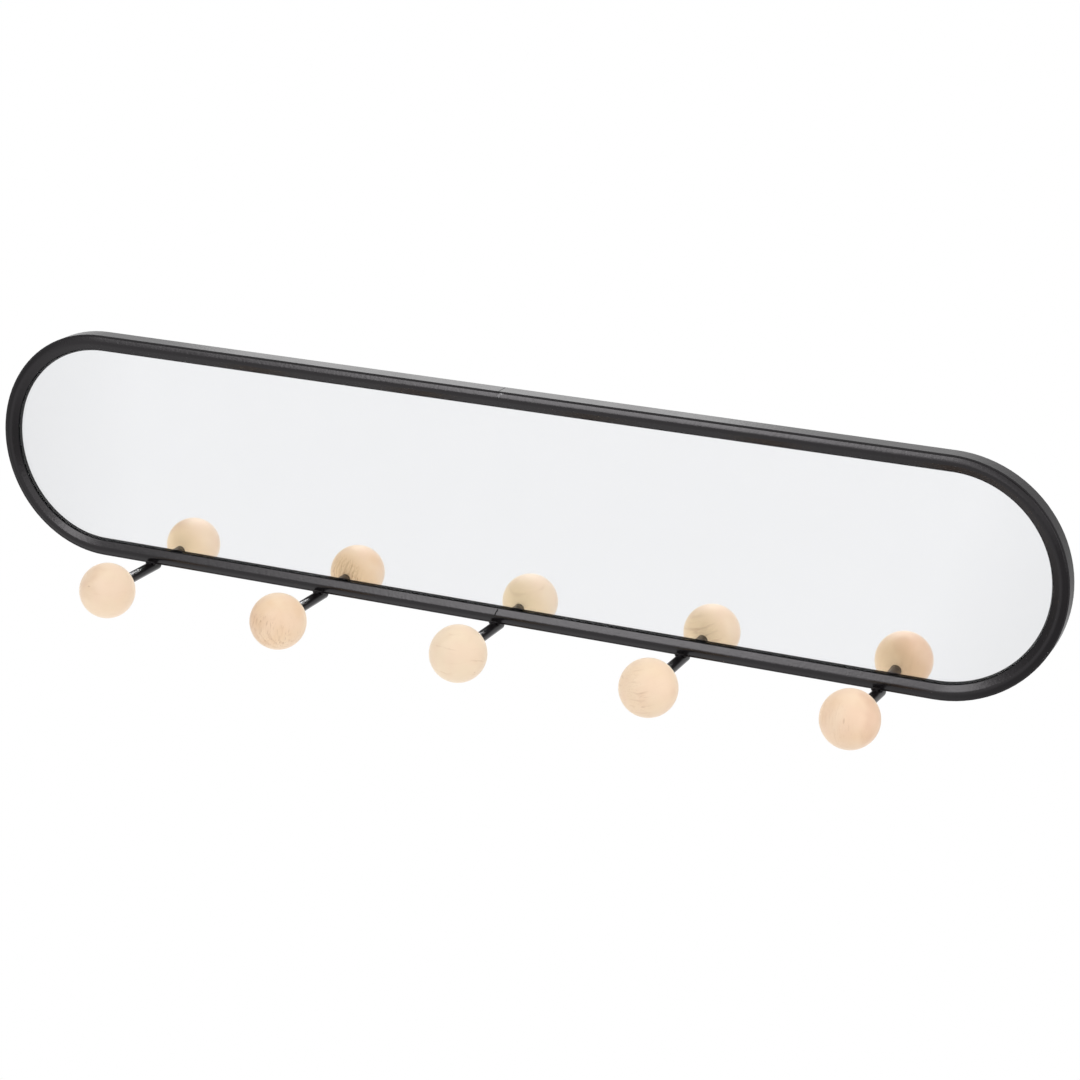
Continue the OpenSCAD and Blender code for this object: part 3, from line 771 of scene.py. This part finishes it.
def make_silvering(front, back, edge):
    """The coating as a thin sheet, a hair behind the glass so that the two faces don't share a plane."""
    inset = GLASS_INSET + GLASS_ARRIS
    radius, half = FRAME_HEIGHT / 2 - inset, (FRAME_LENGTH - FRAME_HEIGHT) / 2
    shaded_border = inset - BAR_INSET - BAR_WIDTH - SHADE_BEYOND_BAR
    level = GLASS_BACK - COATING_GAP
    angles = [math.pi * step / SHEET_END_STEPS for step in range(SHEET_END_STEPS + 1)]
    turns = [(side, angle) for side in (1, -1) for angle in angles]
    rings = [[(side * half + side * r * math.sin(a), side * r * math.cos(a), z) for side, a in turns]
             for r, z in ((radius + shaded_border, level), (radius, level), (radius, COATING_BACK))]
    count = len(turns)
    # The silvered front, the painted back, the border beside the bar in near-black painted shade, and the
    # rim, with their finishes
    faces = [tuple(range(count)), tuple(reversed(range(2 * count, 3 * count)))]
    faces += [(first + i, first + (i + 1) % count, first + count + (i + 1) % count, first + count + i)
              for first in (0, count) for i in range(count)]
    finishes = [0, 1] + [2] * count + [1] * count
    mesh = bpy.data.meshes.new("silvered_sheet")
    mesh.from_pydata([point for ring in rings for point in ring], [], faces)
    for material in (front, back, edge):
        mesh.materials.append(material)
    mesh.polygons.foreach_set("material_index", finishes)
    piece = bpy.data.objects.new("silvered_sheet", mesh)
    bpy.context.scene.collection.objects.link(piece)
    settle(stand_up(piece), "silver_coating", "mirror_coating")


def make_screws(metal):
    """Screws whose half section is swept round a ring, so it is drawn from the ring and not from the axis."""
    edge = SCREW_HEAD_HEIGHT * SCREW_HEAD_EDGE
    dome = arc_points((0.0, 0.0), 1.0, 0.0, math.pi / 2, 8)
    outline = [(SCREW_HEAD_RADIUS * r, edge + (SCREW_HEAD_HEIGHT - edge) * z) for r, z in dome]
    outline += [(SCREW_HEAD_RADIUS, 0.0), (SCREW_SHANK_RADIUS, 0.0), (SCREW_SHANK_RADIUS, -SCREW_REACH),
                (0.0, -SCREW_REACH)]
    line = closed_line("screw outline", [(r - SCREW_TURNING_PATH, -z) for r, z in outline])
    places = [place for place, _ in at_lug(LUG_HOLE_INSET, LUG_BACK)]
    guide = guide_mesh("screw places", places, facing=[(math.pi, 0, 0)] * len(places))
    piece = grow("lug_screw_set", screw_tree(), guide, Outline=line, Path_Radius=SCREW_TURNING_PATH,
                 Head_Height=SCREW_HEAD_HEIGHT, Seed=SCREW_SEED, Metal=metal, **SCREW_RECESS)
    settle(stand_up(piece), "zinc_screws", "lug_screws")
    bpy.data.objects.remove(line)


def rod_weld_lines():
    """The two ends of each weld run on both sides of every hook rod."""
    low = -FRAME_HEIGHT / 2 - ROD_BEAD_DROP
    return [[(number * HOOK_PITCH + side * ROD_BEAD_BESIDE, low, z) for z in ROD_BEAD_ENDS]
            for number in range(-2, 3) for side in (-1, 1)]


def lug_weld_lines():
    """The two ends of the weld run along every lug."""
    lines = []
    for place, angle in at_lug(BAR_INSET + BEAD_OFF_STRIP, LUG_BACK):
        across = Vector((math.sin(angle), -math.cos(angle), 0)) * LUG_BEAD_REACH
        lines.append([Vector(place) - across, Vector(place) + across])
    return lines


def plate_weld_lines():
    """The two ends of the weld run over each keyhole plate."""
    high = FRAME_HEIGHT / 2 - BAR_INSET - BEAD_OFF_STRIP
    return [[(middle + end * PLATE_BEAD_REACH, high, PLATE_THICKNESS) for end in (-1, 1)]
            for middle in (-KEYHOLE_SPACING / 2, KEYHOLE_SPACING / 2)]


def make_beads(coat):
    """Weld runs beside the hook rods, along the lugs and along the hanger plates."""
    tree = bead_tree()
    runs = {"hook": rod_weld_lines(), "lug": lug_weld_lines(), "hanger": plate_weld_lines()}
    for kind, lines in runs.items():
        points = [point for line in lines for point in line]
        guide = guide_mesh(kind + " weld lines", points, [(n, n + 1) for n in range(0, len(points), 2)])
        piece = grow(kind + "_weld_beads", tree, guide, Wander=BEAD_WANDER, Paint=coat, **BEAD_LOOKS[kind])
        settle(stand_up(piece), "weld_paint", kind + "_welds")


# ---------- studio ----------

def make_camera():
    """The photograph's camera."""
    right = VIEW_RIGHT * math.cos(VIEW_ROLL) + VIEW_UP * math.sin(VIEW_ROLL)
    up = VIEW_UP * math.cos(VIEW_ROLL) - VIEW_RIGHT * math.sin(VIEW_ROLL)
    place = Vector((0, -STRIP_DEPTH, -KEYHOLE_RISE))
    for away, direction in zip(CAMERA_AWAY, (right, up, VIEW_BACK)):
        place += away * direction
    data = bpy.data.cameras.new("camera")
    data.sensor_width = CAMERA_SENSOR
    data.lens = CAMERA_LENS
    data.clip_start, data.clip_end = 0.05, 200
    camera = bpy.data.objects.new("camera", data)
    bpy.context.scene.collection.objects.link(camera)
    turn = Matrix((right, up, VIEW_BACK)).transposed()
    camera.matrix_world = Matrix.Translation(place) @ turn.to_4x4()
    bpy.context.scene.camera = camera


def softbox(name, place, aim, size, glow, lights=True):
    """A flat lamp that faces aim, unseen by the camera."""
    width, height = size
    data = bpy.data.lights.new(name, "AREA")
    data.shape = "RECTANGLE"
    data.size, data.size_y = width, height
    data.energy = glow * math.pi * width * height
    lamp = bpy.data.objects.new(name, data)
    bpy.context.scene.collection.objects.link(lamp)
    lamp.location = place
    lamp.rotation_euler = (Vector(aim) - Vector(place)).to_track_quat("-Z", "Y").to_euler()
    lamp.visible_camera = False
    lamp.visible_diffuse = lights
    return lamp


def room_light(tree, toward):
    """Colour of the room in a direction: white to the camera, one level to gloss, and one that lights."""
    lit = plus(tree, dot(tree, vector_maths(tree, "MAXIMUM", toward), LIT_FROM_PLUS),
               dot(tree, vector_maths(tree, "MINIMUM", toward), LIT_FROM_MINUS))
    sideways = add(tree, "ShaderNodeSeparateXYZ", {0: toward}).outputs[0]
    seen = times(tree, spread(tree, sideways, *DIM_LEFT), spread(tree, sideways, *DIM_RIGHT))
    path = add(tree, "ShaderNodeLightPath").outputs
    looked = maths(tree, "MAXIMUM", path["Is Glossy Ray"], path["Is Transmission Ray"])
    not_looked = maths(tree, "SUBTRACT", 1.0, looked)
    level = plus(tree, times(tree, lit, not_looked), times(tree, seen, looked))
    grey = add(tree, "ShaderNodeCombineXYZ", {0: level, 1: level, 2: level}).outputs[0]
    return mix(tree, path["Is Camera Ray"], grey, (1.0, 1.0, 1.0))


def make_room():
    """A white world, and a floor that glows as the world does, so that no edge shows between them."""
    world = bpy.data.worlds.new("white room")
    bpy.context.scene.world = world
    world.use_nodes = True
    tree = world.node_tree
    toward = add(tree, "ShaderNodeTexCoord").outputs["Generated"]
    tree.links.new(room_light(tree, toward), tree.nodes["Background"].inputs["Color"])

    bpy.ops.mesh.primitive_circle_add(vertices=96, radius=FLOOR_RADIUS, fill_type="NGON",
                                      location=(0, 0, FLOOR_LEVEL))
    floor = bpy.context.object
    floor.name = "floor"
    made, tree, _, place = finish("pale floor")
    seen_from_object = vector_maths(tree, "ADD", place, (0, 0, FLOOR_LEVEL))
    colour = room_light(tree, vector_maths(tree, "NORMALIZE", seen_from_object))
    glow = add(tree, "ShaderNodeEmission", {"Color": colour})
    tree.links.new(glow.outputs[0], tree.nodes["Material Output"].inputs["Surface"])
    floor.data.materials.append(made)


def make_lamps():
    for name, values in SOFTBOXES.items():
        softbox(name, **values)


def group_of(name, pieces):
    """A collection of pieces, for a lamp to be linked to."""
    made = bpy.data.collections.new(name)
    for piece in pieces:
        made.objects.link(piece)
    return made


def bar_halves():
    """Both halves of the bar as they are drawn here."""
    return [bpy.data.objects[name] for name in ("bezel_left_bar", "bezel_right_bar")]


def light_from_mirror():
    """The light that the mirror throws back onto the balls, which a path from a matt face doesn't find.

    A soft lamp lies just in front of the glass. The key's mirror image stands behind the wall: it lights the
    balls alone, and only the bar, the strip and the hooks shade it.
    """
    bounce = softbox("mirror bounce", **MIRROR_BOUNCE)
    image = softbox("mirror image of the key", **KEY_IMAGE)
    for lamp in (bounce, image):
        lamp.visible_glossy = False
        lamp.visible_transmission = False
    balls = [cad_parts["ball_" + hook] for hook in HOOKS]
    rods = [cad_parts["rod_" + hook] for hook in HOOKS]
    strips = [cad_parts[name] for name in ("strip_left", "strip_right")]
    shades = balls + rods + strips + bar_halves()
    image.light_linking.receiver_collection = group_of("lit by the mirror", balls)
    image.light_linking.blocker_collection = group_of("shading the mirror", shades)


def light_the_right_arc():
    """A window to the right that only the outer flank of the bar shows, round its right end."""
    window = softbox("far window", **FAR_WINDOW)
    window.light_linking.receiver_collection = group_of("shows the window", bar_halves())


# ---------- the whole ----------

def coat_node(name, material):
    """Gives a CAD node its finish."""
    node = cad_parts[name]
    node.data.materials.clear()
    node.data.materials.append(material)


def make_object():
    """Finishes for the CAD nodes, and the dressed pieces in the place of the others."""
    black = powder_coat("satin black frame coat")
    for name in ("strip_left", "strip_right", "clamp_lugs", "keyhole_plate_left", "keyhole_plate_right"):
        coat_node(name, black)
    rod_black = rod_coat()
    weld_black = powder_coat("black coat over weld", low=0.30, high=0.45, peel=40e-6)
    for hook in HOOKS:
        coat_node("rod_" + hook, rod_black)
    coat_node("seam_welds", weld_black)
    coat_node("mirror_glass", float_glass())
    coat_node("foam_strips", foam_tape())
    coat_node("backboard", fibreboard())
    for hook in HOOKS:
        low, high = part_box("ball_" + hook)
        coat_node("ball_" + hook, beech("beech ball_" + hook, (low + high) / 2, BALL_LOOKS[hook]))

    # Near-black painted shade for the gap between the bar and the glass, on the nose and on the silver's
    # border
    gap_shade = painted_gap_shade()
    make_bezel(powder_coat("satin black bezel coat", marked=True), gap_shade)
    make_silvering(silver(), backing_paint(), gap_shade)
    make_screws(zinc())
    make_beads(weld_black)


make_camera()
make_room()
make_lamps()
make_object()
light_from_mirror()
light_the_right_arc()

bpy.context.scene.view_settings.view_transform = "Standard"
